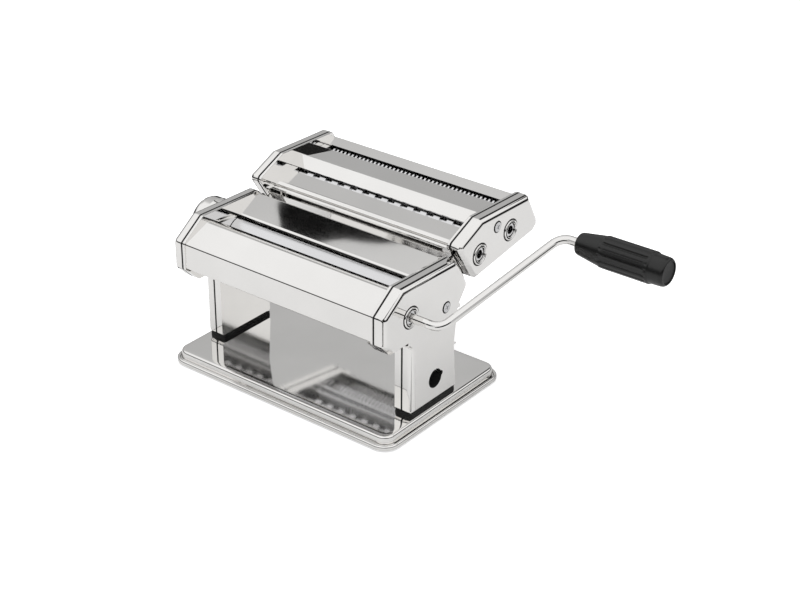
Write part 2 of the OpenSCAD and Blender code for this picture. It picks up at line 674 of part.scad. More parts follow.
module cutter_front_deck() color(chrome) {
    sheet(concat(front_deck, [for (i = [1:len(front_apron) - 1]) front_apron[i]]), cutter_inner, sheet_t);
    sheet_ends(front_deck, cutter_inner, cutter_rim, sheet_t);
}
// The slots end at the crank side, where the deck runs on over the frame
module cutter_middle_deck() color(chrome) {
    yz(-cutter_rim, cutter_inner) polygon(folded(middle_deck, -sheet_t));
    yz(cutter_inner - eps, cutter_rim) polygon(folded(concat([slot1_front + [seat, 0]], middle_deck,
        [slot2_back - [seat, 0]]), -sheet_t));
}
module cutter_rear_deck() color(chrome) sheet(rear_deck, cutter_rim, -sheet_t);

module cutter_tie_rods() color(steel) for (p = [cutter_screw, cutter_tie]) difference() {
    bar(p, -cutter_joint, cutter_joint, cutter_tie_r);
    both_ends() bar(p, cutter_joint - tap_depth - 1, cutter_joint + 1, screw_r + run_fit);
}

module cutter_screws() color(steel) {
    screw_x(cutter_screw, cutter_face, cutter_joint - tap_depth);
    mirror([1, 0, 0]) screw_x(cutter_tie, cutter_face, cutter_joint - tap_depth);
}

module cutter_bushes() color(bronze) both_ends() for (p = cutter_axes)
    tube(p, cutter_inner, cutter_joint, cutter_bush_r, cutter_journal + run_fit);

module cutter_socket_rings() color(chrome) for (p = [wide_at, narrow_at]) socket_ring(p, cutter_face);

// Grooved roller: lands at the full radius, one pitch apart, starting at land_0
module cutting_roller(p, pitch, land_0) {
    lands = floor((2 * cutter_end - land_0) / pitch);
    land = pitch / 2 - land_clear;
    low = cutter_r - groove_depth;
    translate([-cutter_end, p[0], p[1]]) rotate([0, 90, 0]) rotate_extrude($fn = fine) polygon(concat(
        [[0, 0], [low, 0]],
        [for (i = [0:lands - 1]) each [[low, land_0 + i * pitch], [cutter_r, land_0 + i * pitch],
            [cutter_r, land_0 + i * pitch + land], [low, land_0 + i * pitch + land]]],
        [[low, 2 * cutter_end], [0, 2 * cutter_end]]));
}

module cutter_shaft(p, pitch, land_0, driver, gear_side) {
    cutting_roller(p, pitch, land_0);
    bar(p, -cutter_joint - (gear_side < 0 ? gear_w : -0.2), -cutter_end + eps, cutter_journal);
    if (driver) difference() {
        union() {
            bar(p, cutter_end - eps, cutter_inside - gap, cutter_journal);
            bar(p, cutter_inside - gap - eps, cutter_face - 0.4, nose_r);
        }
        bar(p, cutter_face - 0.4 - socket_depth / 2, cutter_face + 1, socket_r);
    }
    else bar(p, cutter_end - eps, cutter_joint + (gear_side > 0 ? gear_w : -0.2), cutter_journal);
}

function first_land(pitch, mate) = (pitch / 2 + land_clear) / 2 + (mate ? pitch / 2 : 0);

module wide_driver() color(steel) cutter_shaft(wide_at, wide_pitch, first_land(wide_pitch, false), true, -1);
module wide_mate() color(steel) cutter_shaft(wide_mate_at, wide_pitch, first_land(wide_pitch, true), false, -1);
module narrow_driver() color(steel) cutter_shaft(narrow_at, narrow_pitch, first_land(narrow_pitch, false), true, 1);
module narrow_mate() color(steel) cutter_shaft(narrow_mate_at, narrow_pitch, first_land(narrow_pitch, true), false, 1);

cutter_gear_w = 4.5;
module cutter_gear(p, phase, side) {
    x = cutter_joint + 0.6;
    gear(p, side > 0 ? x : -x - cutter_gear_w, side > 0 ? x + cutter_gear_w : -x, cutter_teeth, pair_step / 2,
        cutter_journal + 0.02, phase);
}
mesh_phase = 180 + 180 / cutter_teeth;

module wide_driver_gear() color(steel) cutter_gear(wide_at, pair_tilt, -1);
module wide_mate_gear() color(steel) cutter_gear(wide_mate_at, pair_tilt + mesh_phase, -1);
module narrow_driver_gear() color(steel) cutter_gear(narrow_at, pair_tilt, 1);
module narrow_mate_gear() color(steel) cutter_gear(narrow_mate_at, pair_tilt + mesh_phase, 1);

// Stripping comb: a bar with one finger in each groove of the driver above it
comb_t = 1.2;
comb_drop = 4.5;        // comb bar below the rollers
comb_back = 5;          // comb in front of its driver's axis
module comb(p, pitch) {
    fingers = floor(2 * cutter_end / pitch) - 1;
    finger_w = pitch / 2 - land_clear * 2;
    root_z = p[1] - cutter_r - comb_drop;
    translate([-cutter_inner, p[0] - comb_back, root_z - comb_t]) cube([2 * cutter_inner, comb_back - 1, comb_t]);
    first_x = first_land(pitch, false) - land_clear - finger_w - cutter_end;
    for (i = [1:fingers]) translate([first_x + i * pitch, p[0] - comb_back, root_z - eps])
        cube([finger_w, 1.6, comb_drop + 0.4]);
}
module wide_comb() color(steel) comb(wide_at, wide_pitch);
module narrow_comb() color(steel) comb(narrow_at, narrow_pitch);

base_plate();
rubber_feet();
leg_pads();
left_side_frame();
right_side_frame();
left_end_cap();
right_end_cap();
front_cover();
rear_cover();
tie_rods();
cap_screws();
base_screws();
drive_bushes();
crank_socket_ring();
front_scraper();
rear_scraper();
drive_roller();
drive_gear();
crank_rod();
crank_grip();
grip_end_plug();
left_bearing_slide();
right_bearing_slide();
adjustable_roller();
driven_gear();
adjusting_scroll();
knob_spring();
thickness_knob();
index_pin();
cutter_left_frame();
cutter_right_frame();
cutter_left_cap();
cutter_right_cap();
cutter_front_deck();
cutter_middle_deck();
cutter_rear_deck();
cutter_tie_rods();
cutter_screws();
cutter_bushes();
cutter_socket_rings();
wide_comb();
narrow_comb();
wide_driver();
wide_mate();
narrow_driver();
narrow_mate();
wide_driver_gear();
wide_mate_gear();
narrow_driver_gear();
narrow_mate_gear();
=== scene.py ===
"""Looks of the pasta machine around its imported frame: materials, fine pieces, light and camera."""

import json
import math

import bmesh
import bpy
from mathutils import Matrix, Vector


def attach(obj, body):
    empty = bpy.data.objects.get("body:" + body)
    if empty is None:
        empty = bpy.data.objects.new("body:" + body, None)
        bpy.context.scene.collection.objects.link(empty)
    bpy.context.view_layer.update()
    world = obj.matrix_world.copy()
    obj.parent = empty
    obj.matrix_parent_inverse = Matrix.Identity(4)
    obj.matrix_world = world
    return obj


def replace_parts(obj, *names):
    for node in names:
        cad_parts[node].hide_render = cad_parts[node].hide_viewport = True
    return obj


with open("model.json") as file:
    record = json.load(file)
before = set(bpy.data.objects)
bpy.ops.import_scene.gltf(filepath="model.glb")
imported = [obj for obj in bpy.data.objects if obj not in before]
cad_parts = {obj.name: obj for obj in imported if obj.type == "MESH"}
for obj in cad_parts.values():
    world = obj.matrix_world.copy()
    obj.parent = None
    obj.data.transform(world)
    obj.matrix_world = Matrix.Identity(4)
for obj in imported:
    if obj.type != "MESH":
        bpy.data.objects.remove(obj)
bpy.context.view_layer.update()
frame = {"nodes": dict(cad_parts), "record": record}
nodes = frame["nodes"]
scene = bpy.context.scene

MM = 0.001
BODIES = frame["record"]["behaviour"]["bodies"]
SHARP = math.radians(30.0)                   # edges past this angle stay crisp

# Places on the machine that several pieces share, in mm
FRAME_JOINT, CUTTER_JOINT = 96.5, 97.2       # where a cap meets its frame, along X
FRAME_FACE, CUTTER_FACE = 106.7, 107.4       # outer faces of the caps, along X
CRANK_AXIS = (-39.0, 101.7)                  # y, z of the body's crank socket
CUTTER_AXES = [(45.5, 120.9), (85.9, 126.3)]  # y, z of the cutter's two sockets
CLAMP_HOLE = (-8.0, 35.3, 8.6)               # y, z and reach of the clamp's bore

# The camera stands front right of the machine, in metres
CAMERA_AT = Vector((0.8040, -0.9443, 0.7319))
CAMERA_AZIMUTH = math.radians(38.02)
CAMERA_ELEVATION = math.radians(28.31)
CAMERA_ROLL = math.radians(0.375)
LENS_MM = 79.65
SENSOR_MM = 36.0


def camera_basis():
    """Right, up and backward directions of the camera."""
    az, el, roll = CAMERA_AZIMUTH, CAMERA_ELEVATION, CAMERA_ROLL
    back = Vector((math.sin(az) * math.cos(el), -math.cos(az) * math.cos(el), math.sin(el)))
    level = Vector((math.cos(az), math.sin(az), 0.0))
    up = back.cross(level)
    right = math.cos(roll) * level + math.sin(roll) * up
    return right, back.cross(right), back


def make_camera():
    data = bpy.data.cameras.new("photo_camera")
    data.sensor_width = SENSOR_MM
    data.lens = LENS_MM
    data.clip_end = 20.0
    camera = bpy.data.objects.new("photo_camera", data)
    right, up, back = camera_basis()
    turn = Matrix((right, up, back)).transposed().to_4x4()
    camera.matrix_world = Matrix.Translation(CAMERA_AT) @ turn
    scene.collection.objects.link(camera)
    scene.camera = camera


# ---- small helpers for node trees -------------------------------------------

class Tree:
    """Adds nodes to one node tree and wires them."""

    def __init__(self, owner):
        owner.use_nodes = True
        self.tree = owner.node_tree
        self.tree.nodes.clear()

    def add(self, kind, **settings):
        node = self.tree.nodes.new(kind)
        for key, value in settings.items():
            setattr(node, key, value)
        return node

    def wire(self, source, out, target, into):
        self.tree.links.new(source.outputs[out], target.inputs[into])

    def noise(self, scale, detail=4.0, roughness=0.55, stretch=(1.0, 1.0, 1.0)):
        place = self.add("ShaderNodeTexCoord")
        shape = self.add("ShaderNodeMapping")
        shape.inputs["Scale"].default_value = stretch
        self.wire(place, "Object", shape, "Vector")
        noise = self.add("ShaderNodeTexNoise")
        noise.inputs["Scale"].default_value = scale
        noise.inputs["Detail"].default_value = detail
        noise.inputs["Roughness"].default_value = roughness
        self.wire(shape, "Vector", noise, "Vector")
        return noise

    def ramp(self, source, out, stops):
        ramp = self.add("ShaderNodeValToRGB")
        ramp.color_ramp.elements[0].position = stops[0][0]
        ramp.color_ramp.elements[0].color = (*stops[0][1], 1.0)
        ramp.color_ramp.elements[1].position = stops[-1][0]
        ramp.color_ramp.elements[1].color = (*stops[-1][1], 1.0)
        for position, color in stops[1:-1]:
            ramp.color_ramp.elements.new(position).color = (*color, 1.0)
        self.wire(source, out, ramp, "Fac")
        return ramp

    def spread(self, source, out, low, high):
        """Maps a 0..1 signal to low..high."""
        spread = self.add("ShaderNodeMapRange")
        spread.inputs["To Min"].default_value = low
        spread.inputs["To Max"].default_value = high
        self.wire(source, out, spread, "Value")
        return spread

    def step(self, source, out, start, end):
        """Rises smoothly from 0 at start to 1 at end."""
        step = self.add("ShaderNodeMapRange")
        step.interpolation_type = "SMOOTHSTEP"
        step.inputs["From Min"].default_value = start
        step.inputs["From Max"].default_value = end
        self.wire(source, out, step, "Value")
        return step


def grey(value):
    return (value, value, value)


def new_material(name):
    material = bpy.data.materials.new(name)
    tree = Tree(material)
    shader = tree.add("ShaderNodeBsdfPrincipled")
    output = tree.add("ShaderNodeOutputMaterial")
    tree.wire(shader, "BSDF", output, "Surface")
    return material, tree, shader


def bump(tree, shader, noise, strength, distance):
    node = tree.add("ShaderNodeBump")
    node.inputs["Strength"].default_value = strength
    node.inputs["Distance"].default_value = distance
    tree.wire(noise, "Fac", node, "Height")
    tree.wire(node, "Normal", shader, "Normal")


def drift_color(tree, shader, color, scale, detail, share):
    """Base colour that drifts slowly down by a share of itself and back."""
    low = tuple(c * (1.0 - share) for c in color)
    tone = tree.ramp(tree.noise(scale, detail=detail), "Fac", [(0.3, low), (0.7, color)])
    tree.wire(tone, "Color", shader, "Base Color")


def metal(name, color, rough_low, rough_high, stretch=(1.0, 1.0, 1.0), grain=0.0):
    """Metal with drifting colour and smudged roughness: ground where it has a grain, else faintly wavy."""
    material, tree, shader = new_material(name)
    shader.inputs["Metallic"].default_value = 1.0
    drift_color(tree, shader, color, 14.0, 3.0, 0.06)
    smudge = tree.noise(55.0, detail=6.0, roughness=0.65, stretch=stretch)
    rough = tree.spread(smudge, "Fac", rough_low, rough_high)
    tree.wire(rough, "Result", shader, "Roughness")
    if grain > 0:
        bump(tree, shader, tree.noise(900.0, detail=2.0, stretch=stretch), grain, 0.0001)
    else:
        bump(tree, shader, tree.noise(7.0, detail=1.0), 0.05, 0.002)
    return material


def plastic(name, color, rough_low, rough_high, texture_scale, strength):
    """Moulded plastic or rubber with a fine spark-eroded texture."""
    material, tree, shader = new_material(name)
    drift_color(tree, shader, color, 40.0, 4.0, 0.25)
    shader.inputs["Specular IOR Level"].default_value = 0.5
    rough = tree.spread(tree.noise(120.0, detail=5.0), "Fac", rough_low, rough_high)
    tree.wire(rough, "Result", shader, "Roughness")
    bump(tree, shader, tree.noise(texture_scale, detail=3.0), strength, 0.0002)
    return material


def make_materials():
    """Materials by the record's slots, and two more for pieces of this script: insert, and shade, a near-black
    for painted shade.
    """
    return {
        "chrome": metal("polished_chrome", (0.865, 0.855, 0.84), 0.035, 0.085),
        "steel": metal("bright_steel", (0.66, 0.66, 0.67), 0.18, 0.32, (0.08, 1.0, 1.0), grain=0.15),
        "roller_steel": metal("ground_steel", (0.74, 0.74, 0.75), 0.12, 0.24, (1.0, 0.05, 0.05), grain=0.12),
        "bronze": metal("sintered_bronze", (0.62, 0.44, 0.22), 0.30, 0.48, grain=0.25),
        "black_plastic": plastic("black_satin_plastic", grey(0.0055), 0.26, 0.38, 1500.0, 0.10),
        "rubber": plastic("black_rubber", grey(0.008), 0.55, 0.72, 900.0, 0.30),
        "insert": plastic("matte_insert", grey(0.012), 0.50, 0.62, 1200.0, 0.20),
        # painted shade: near-black for joints, bores, grooves and clearances where shade falls
        "shade": plastic("joint_shade", grey(0.004), 0.70, 0.80, 600.0, 0.10),
    }


def dress_cad(materials):
    """Gives each CAD node its material and smooth shading over its curved faces."""
    for part in frame["record"]["subparts"]:
        mesh = nodes[part["node"]].data
        mesh.materials.clear()
        mesh.materials.append(materials[part["material_slot"]])
        mesh.shade_smooth()
        mesh.set_sharp_from_angle(angle=SHARP)


# ---- putting pieces on their bodies -----------------------------------------------

def mount(name, mesh, node):
    """A piece that moves with a node's body."""
    piece = bpy.data.objects.new(name, mesh)
    scene.collection.objects.link(piece)
    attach(piece, next(body for body, held in BODIES.items() if node in held))
    return piece


def stand_in(name, node, mesh, materials):
    """Puts a mesh in place of a CAD node, on its body and with the given materials; its faces keep their
    paint.
    """
    painted = [face.material_index for face in mesh.polygons]
    mesh.materials.clear()
    for material in materials:
        mesh.materials.append(material)
    mesh.polygons.foreach_set("material_index", painted)
    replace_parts(mount(name, mesh, node), node)


def add_shade(name, node, mesh, shade):
    """Adds a dark piece of painted shade that has no node of its own, on a node's body."""
    mesh.materials.append(shade)
    mount(name, mesh, node)


def weigh_normals(mesh, sharp):
    """Bakes area-weighted normals, so that flat faces stay flat beside their rounded edges."""
    mesh.shade_smooth()
    mesh.set_sharp_from_angle(angle=sharp)
    holder = bpy.data.objects.new("normals", mesh)
    scene.collection.objects.link(holder)
    weigh = holder.modifiers.new("weigh", "WEIGHTED_NORMAL")
    weigh.mode = "FACE_AREA"
    weigh.weight = 60
    weigh.keep_sharp = True
    bpy.context.view_layer.update()
    baked = bpy.data.meshes.new_from_object(holder.evaluated_get(bpy.context.evaluated_depsgraph_get()))
    bpy.data.objects.remove(holder)
    return baked


# ---- softened copies of the pressed and machined pieces --------------------------

# Least and greatest angle, in degrees, at the edges to round on each kind of piece
CAP_EDGES, FRAME_EDGES, SHEET_EDGES = (28, 80), (60, 120), (14, 80)
RIM_FROM = 93.0                              # mm along X: a frame's edges beyond this are rounded
GAP_WIDTH, GAP_SLACK = 0.6, 0.05             # mm: width of the painted shade at a cap's joint, and of its tolerance


def leaning(edge):
    """An edge of the 45 degree bevels along the top and the front of a cap."""
    def faces_out(normal):
        return normal.z > 0.2 or normal.y < -0.5 and normal.z > -0.1
    return any(0.5 < abs(face.normal.x) < 0.9 and faces_out(face.normal) for face in edge.link_faces)


def outer(edge):
    """An edge in the outer rim of a frame."""
    return all(abs(vertex.co.x) > RIM_FROM * MM for vertex in edge.verts)


def along_x(edge):
    run = edge.verts[1].co - edge.verts[0].co
    return abs(run.x) > 0.98 * run.length


def merged_form(mesh, flatness):
    """Working form of a CAD mesh: double points merged, faces joined that are flat to so many degrees."""
    form = bmesh.new()
    form.from_mesh(mesh)
    bmesh.ops.remove_doubles(form, verts=form.verts, dist=1e-6)
    bmesh.ops.dissolve_limit(form, angle_limit=math.radians(flatness), verts=form.verts, edges=form.edges)
    return form


def soften(name, node, materials, radius, segments, angles, wanted, paint=None):
    """Replaces a node by a copy with rounded edges.

    The edges to round have an angle between the two in `angles` and pass the test `wanted`; the
    radius is in mm; paint gives a face's material index.
    """
    mesh = nodes[node].data.copy()
    form = merged_form(mesh, 0.2)
    least, most = (math.radians(angle) for angle in angles)
    chosen = [edge for edge in form.edges
              if len(edge.link_faces) == 2 and least < edge.calc_face_angle(0.0) < most and wanted(edge)]
    bmesh.ops.bevel(form, geom=chosen, offset=radius * MM, offset_type="OFFSET", segments=segments,
        profile=0.5, affect="EDGES", clamp_overlap=False)
    for face in form.faces:
        face.material_index = paint(face) if paint else 0
    form.to_mesh(mesh)
    form.free()
    baked = weigh_normals(mesh, SHARP)
    baked.name = name
    stand_in(name, node, baked, materials)


def paint_bore(face):
    """Material index of a face: 1, for painted shade, in the clamp's bore."""
    middle = face.calc_center_median() / MM
    away = math.hypot(middle.y - CLAMP_HOLE[0], middle.z - CLAMP_HOLE[1])
    return int(middle.x > 0 and away < CLAMP_HOLE[2] and abs(face.normal.x) < 0.5)


def paint_cap(joint):
    """Paints shade on a cap: dark at its joint with the frame and in the clamp's bore."""
    def choose(face):
        middle = face.calc_center_median() / MM
        if joint - GAP_SLACK < abs(middle.x) < joint + GAP_WIDTH + GAP_SLACK:
            return 1
        return paint_bore(face)
    return choose


def soften_caps(chrome, shade):
    for node, radius, joint in (("left_end_cap", 1.8, FRAME_JOINT), ("right_end_cap", 1.8, FRAME_JOINT),
                                ("cutter_left_cap", 1.7, CUTTER_JOINT),
                                ("cutter_right_cap", 1.7, CUTTER_JOINT)):
        soften("round_" + node, node, [chrome, shade], radius, 5, CAP_EDGES, leaning, paint_cap(joint))


def soften_frames(chrome, shade):
    for node, paint in (("left_side_frame", paint_bore), ("right_side_frame", paint_bore),
                        ("cutter_left_frame", None), ("cutter_right_frame", None)):
        soften("round_" + node, node, [chrome, shade], 0.4, 2, FRAME_EDGES, outer, paint)


def soften_sheets(chrome):
    for node, radius in (("front_cover", 1.5), ("rear_cover", 1.1), ("cutter_front_deck", 0.7),
                         ("cutter_middle_deck", 0.6), ("cutter_rear_deck", 1.0)):
        soften("folded_" + node, node, [chrome], radius, 5, SHEET_EDGES, along_x)


# ---- painted shade: dark bands over the joints between the caps and the frames -----

# Section of a band of painted shade in mm: offset from the joint along X, reach beyond the frame's outline
BAND_SECTION = [(-0.55, -0.3), (-0.55, 0.04), (1.05, 0.04), (1.05, -0.3)]


def rim_edge(edge, joint):
    """An edge between the frame's flat face at the joint and a wall."""
    turned = sorted(abs(face.normal.x) for face in edge.link_faces)
    return (all(abs(abs(vertex.co.x) / MM - joint) < 0.02 for vertex in edge.verts)
        and len(turned) == 2 and turned[0] < 0.1 and turned[1] > 0.9)


def rim_loops(form, joint):
    """The chains of a frame's rim edges, as lists of (y, z) in metres."""
    beside = {}
    for edge in form.edges:
        if rim_edge(edge, joint):
            one, two = edge.verts
            beside.setdefault(one, []).append(two)
            beside.setdefault(two, []).append(one)
    loops = []
    while beside:
        loop, seat = [], next(iter(beside))
        while seat is not None:
            loop.append(seat)
            seat = next((vertex for vertex in beside.get(seat, []) if vertex not in loop), None)
        for vertex in loop:
            beside.pop(vertex, None)
        loops.append([Vector((vertex.co.y, vertex.co.z)) for vertex in loop])
    return loops


def frame_outline(node, joint):
    """Outline of a frame in its joint plane, anticlockwise: the tallest of its rim loops."""
    form = merged_form(nodes[node].data, 1.0)
    loops = rim_loops(form, joint)
    form.free()
    outline = max(loops, key=lambda loop: max(z for _, z in loop) - min(z for _, z in loop))
    onward = outline[1:] + outline[:1]
    if sum(here.x * after.y - after.x * here.y for here, after in zip(outline, onward)) < 0:
        outline.reverse()
    return outline


def grown(outline, by):
    """The outline moved outwards by a number of mm."""
    moved = []
    for before, here, after in zip(outline[-1:] + outline[:-1], outline, outline[1:] + outline[:1]):
        one, two = (here - before).normalized(), (after - here).normalized()
        out = Vector((one.y + two.y, -one.x - two.x))
        out = out.normalized() / max(0.5, math.sqrt(max(0.0, (1.0 + one.dot(two)) / 2.0)))
        moved.append(here + out * by * MM)
    return moved


def tube_faces(rings, count):
    """Faces between rings of `count` points each, the last ring joined to the first."""
    faces = []
    for k in range(rings):
        here, there = k * count, (k + 1) % rings * count
        faces += [(here + i, here + (i + 1) % count, there + (i + 1) % count, there + i)
                  for i in range(count)]
    return faces


def painted_shade_band(node, joint, shade):
    """Thin dark band of painted shade over the joint between a frame and its cap, cut from the frame's
    outline.
    """
    outline = frame_outline(node, joint)
    side = math.copysign(1.0, nodes[node].data.vertices[0].co.x)
    points = [(side * (joint + along) * MM, y, z)
              for along, reach in BAND_SECTION for y, z in grown(outline, reach)]
    faces = tube_faces(len(BAND_SECTION), len(outline))
    name = "joint_shadow_" + node
    band = bpy.data.meshes.new(name)
    band.from_pydata(points, [], faces)
    add_shade(name, node, band, shade)


def make_painted_shade_bands(shade):
    for node, joint in (("left_side_frame", FRAME_JOINT), ("right_side_frame", FRAME_JOINT),
                        ("cutter_left_frame", CUTTER_JOINT), ("cutter_right_frame", CUTTER_JOINT)):
        painted_shade_band(node, joint, shade)


# ---- pieces that are turned or pressed along a profile, their sizes in mm ----------

def grid_mesh(name, rings):
    """Skin over rings of points that all have the same count, with a face over each end."""
    count = len(rings[0])
    faces = []
    for k in range(len(rings) - 1):
        for i in range(count):
            j = (i + 1) % count
            faces.append((k * count + i, k * count + j, (k + 1) * count + j, (k + 1) * count + i))
    faces.append(tuple(reversed(range(count))))
    faces.append(tuple((len(rings) - 1) * count + i for i in range(count)))
    mesh = bpy.data.meshes.new(name)
    mesh.from_pydata([point for ring in rings for point in ring], [], faces)
    return mesh


def corner_rect(half_x, half_y, radius, height, steps=10):
    """Rounded rectangle round the Z axis, anticlockwise."""
    points = []
    for k, (sx, sy) in enumerate(((1, 1), (-1, 1), (-1, -1), (1, -1))):
        for i in range(steps + 1):
            angle = math.radians(90.0 * (k + i / steps))
            points.append(((sx * (half_x - radius) + radius * math.cos(angle)) * MM,
                (sy * (half_y - radius) + radius * math.sin(angle)) * MM, height * MM))
    return points


def joined(name, parts):
    """One mesh of several."""
    points, faces = [], []
    for part in parts:
        offset = len(points)
        points += [vertex.co[:] for vertex in part.vertices]
        faces += [tuple(offset + i for i in face.vertices) for face in part.polygons]
    mesh = bpy.data.meshes.new(name)
    mesh.from_pydata(points, [], faces)
    return mesh


BASE_HALF = (113.5, 75.0)
BASE_CORNER, LEAST_CORNER = 14.0, 3.0
# Pressed rim from the hollow underside round to the top: inset from the outline, height
BASE_PROFILE = [
    (9.0, 7.9), (7.4, 7.8), (6.6, 7.2), (6.2, 5.6), (2.2, 4.2), (1.5, 3.6), (1.3, 1.8), (0.9, 1.5),
    (0.3, 1.6), (0.0, 2.1), (0.0, 3.6), (0.2, 4.5), (0.7, 5.2), (1.5, 5.5), (2.2, 5.3), (2.7, 4.7),
    (3.0, 4.3), (3.4, 4.25), (3.75, 4.8), (3.9, 6.6), (3.9, 9.2), (4.05, 10.2), (4.5, 11.1),
    (5.3, 11.7), (6.4, 11.9), (9.5, 11.9),
]
BASE_GROOVE = range(15, 18)                  # stretches of the profile that lie in the rim's groove, painted in shade


def make_base(chrome, shade):
    rings = []
    for inset, height in BASE_PROFILE:
        radius = max(BASE_CORNER - inset, LEAST_CORNER)
        rings.append(corner_rect(BASE_HALF[0] - inset, BASE_HALF[1] - inset, radius, height))
    mesh = weigh_normals(grid_mesh("pressed_base", rings), math.radians(40.0))
    for face in mesh.polygons:
        # painted shade: the groove's faces take the dark shade material
        face.material_index = int(face.index // len(rings[0]) in BASE_GROOVE)
    stand_in("pressed_base", "base_plate", mesh, [chrome, shade])


PAD_AT = (96.8, -7.65)                       # x to either side, and y
PAD_HALF = (8.3, 28.15)
PAD_CORNER = 2.2
# Lip and softened edges of a pad: inset from the outline, height
PAD_PROFILE = [
    (0.6, 11.7), (0.0, 12.1), (0.0, 13.0), (0.5, 13.3), (0.5, 13.6), (0.1, 13.9), (0.1, 14.7),
    (0.6, 15.02),
]


def make_pads(rubber):
    """Pads under the legs, with a lip and softened corners."""
    pads = []
    for side in (-1, 1):
        rings = []
        for inset, height in PAD_PROFILE:
            ring = corner_rect(PAD_HALF[0] - inset, PAD_HALF[1] - inset, PAD_CORNER, height, steps=5)
            rings.append([(x + side * PAD_AT[0] * MM, y + PAD_AT[1] * MM, z) for x, y, z in ring])
        pads.append(grid_mesh("pad", rings))
    stand_in("moulded_pads", "leg_pads", weigh_normals(joined("leg_pads_visual", pads), SHARP), [rubber])


CRANK_REACH, CRANK_ANGLE = 108.8, math.radians(26.7)
GRIP_START = 188.1                           # x of the grip's inner end
GRIP_AXIS = (CRANK_AXIS[0] + CRANK_REACH * math.cos(CRANK_ANGLE),
    CRANK_AXIS[1] + CRANK_REACH * math.sin(CRANK_ANGLE))
# Turned profiles of the grip and of the plug in its end: distance from the grip's inner end, radius
GRIP_PROFILE = [
    (0.0, 3.6), (0.0, 7.4), (0.25, 7.9), (0.8, 8.35), (1.8, 8.75), (8.0, 9.75), (15.0, 10.9),
    (20.6, 11.75), (21.4, 11.95), (22.0, 12.25), (22.8, 12.4), (24.0, 12.4), (25.2, 12.4), (26.6, 12.4),
    (36.0, 12.4), (50.0, 12.4), (59.0, 12.4), (60.4, 12.4), (61.6, 12.4), (62.8, 12.4), (63.4, 12.2),
    (63.8, 11.6), (64.1, 11.45), (66.0, 11.4), (72.6, 11.2), (74.2, 10.95), (75.2, 10.4), (75.85, 9.7),
    (76.0, 9.2), (75.9, 8.9), (75.0, 8.75), (74.5, 8.7),
]
PLUG_PROFILE = [
    (69.0, 8.6), (74.9, 8.6), (75.2, 8.3), (75.3, 7.9), (75.0, 7.3), (74.95, 0.4),
]
RIBS, RIB_STEPS, PLUG_STEPS = 16, 12, 64
RIBBED_RADIUS = 11.9                         # the grip has ribs where it is thicker than this
GROOVE_START, GROOVE_END = 21.8, 62.6        # where the grooves between the ribs begin and end
GROOVE_SINKS, GROOVE_RISES = 3.6, 3.0        # the lengths over which they reach and leave their depth
GROOVE_DEPTH, GROOVE_SHARE = 0.95, 0.42      # depth, and share of a rib's pitch


def groove(along, turn):
    """Depth of the grip's grooves at a place."""
    sunk = min(1.0, max(0.0, (along - GROOVE_START) / GROOVE_SINKS))
    left = min(1.0, max(0.0, (GROOVE_END - along) / GROOVE_RISES))
    ends = math.sin(sunk * left * math.pi / 2)
    across = abs((turn * RIBS / (2 * math.pi)) % 1.0 - 0.5) * 2
    return GROOVE_DEPTH * ends * max(0.0, 1.0 - (across / GROOVE_SHARE) ** 2) ** 0.7


def grip_rings(profile, steps):
    """Rings of points round the grip's axis, ribbed where the profile is thick."""
    rings = []
    for along, radius in profile:
        ring = []
        for i in range(steps):
            turn = 2 * math.pi * i / steps
            reach = radius - (groove(along, turn) if radius > RIBBED_RADIUS else 0.0)
            ring.append(((GRIP_START + along) * MM, (GRIP_AXIS[0] + reach * math.cos(turn)) * MM,
                (GRIP_AXIS[1] + reach * math.sin(turn)) * MM))
        rings.append(ring)
    return rings


def make_grip(plastic_black, insert):
    grip = grid_mesh("ribbed_grip", grip_rings(GRIP_PROFILE, RIBS * RIB_STEPS))
    stand_in("ribbed_grip", "crank_grip", weigh_normals(grip, math.radians(38.0)), [plastic_black])
    plug = grid_mesh("grip_insert", grip_rings(PLUG_PROFILE, PLUG_STEPS))
    stand_in("grip_insert", "grip_end_plug", weigh_normals(plug, SHARP), [insert])


def lathe_x(name, center, profile, steps=64):
    """Closed ring turned round an X-parallel axis through (y, z); profile lists (x, radius) in mm."""
    points = []
    for i in range(steps):
        turn = 2 * math.pi * i / steps
        points += [(x * MM, (center[0] + r * math.cos(turn)) * MM, (center[1] + r * math.sin(turn)) * MM)
                   for x, r in profile]
    mesh = bpy.data.meshes.new(name)
    mesh.from_pydata(points, [], tube_faces(steps, len(profile)))
    form = bmesh.new()
    form.from_mesh(mesh)
    bmesh.ops.recalc_face_normals(form, faces=form.faces)
    form.to_mesh(mesh)
    form.free()
    return mesh


# Section of a socket ring: height over the cap's face, radius
RING_PROFILE = [
    (-1.8, 5.65), (0.8, 5.65), (1.05, 5.75), (1.18, 6.0), (1.1, 6.25), (0.75, 6.42), (0.5, 6.7),
    (0.6, 7.0), (0.95, 7.2), (1.17, 7.5), (1.15, 7.9), (0.85, 8.25), (0.4, 8.4), (-0.1, 8.4),
    (-0.1, 7.0), (-1.8, 7.0),
]
RING_GROOVE = (6.3, 7.05)                    # radii of the groove painted in shade


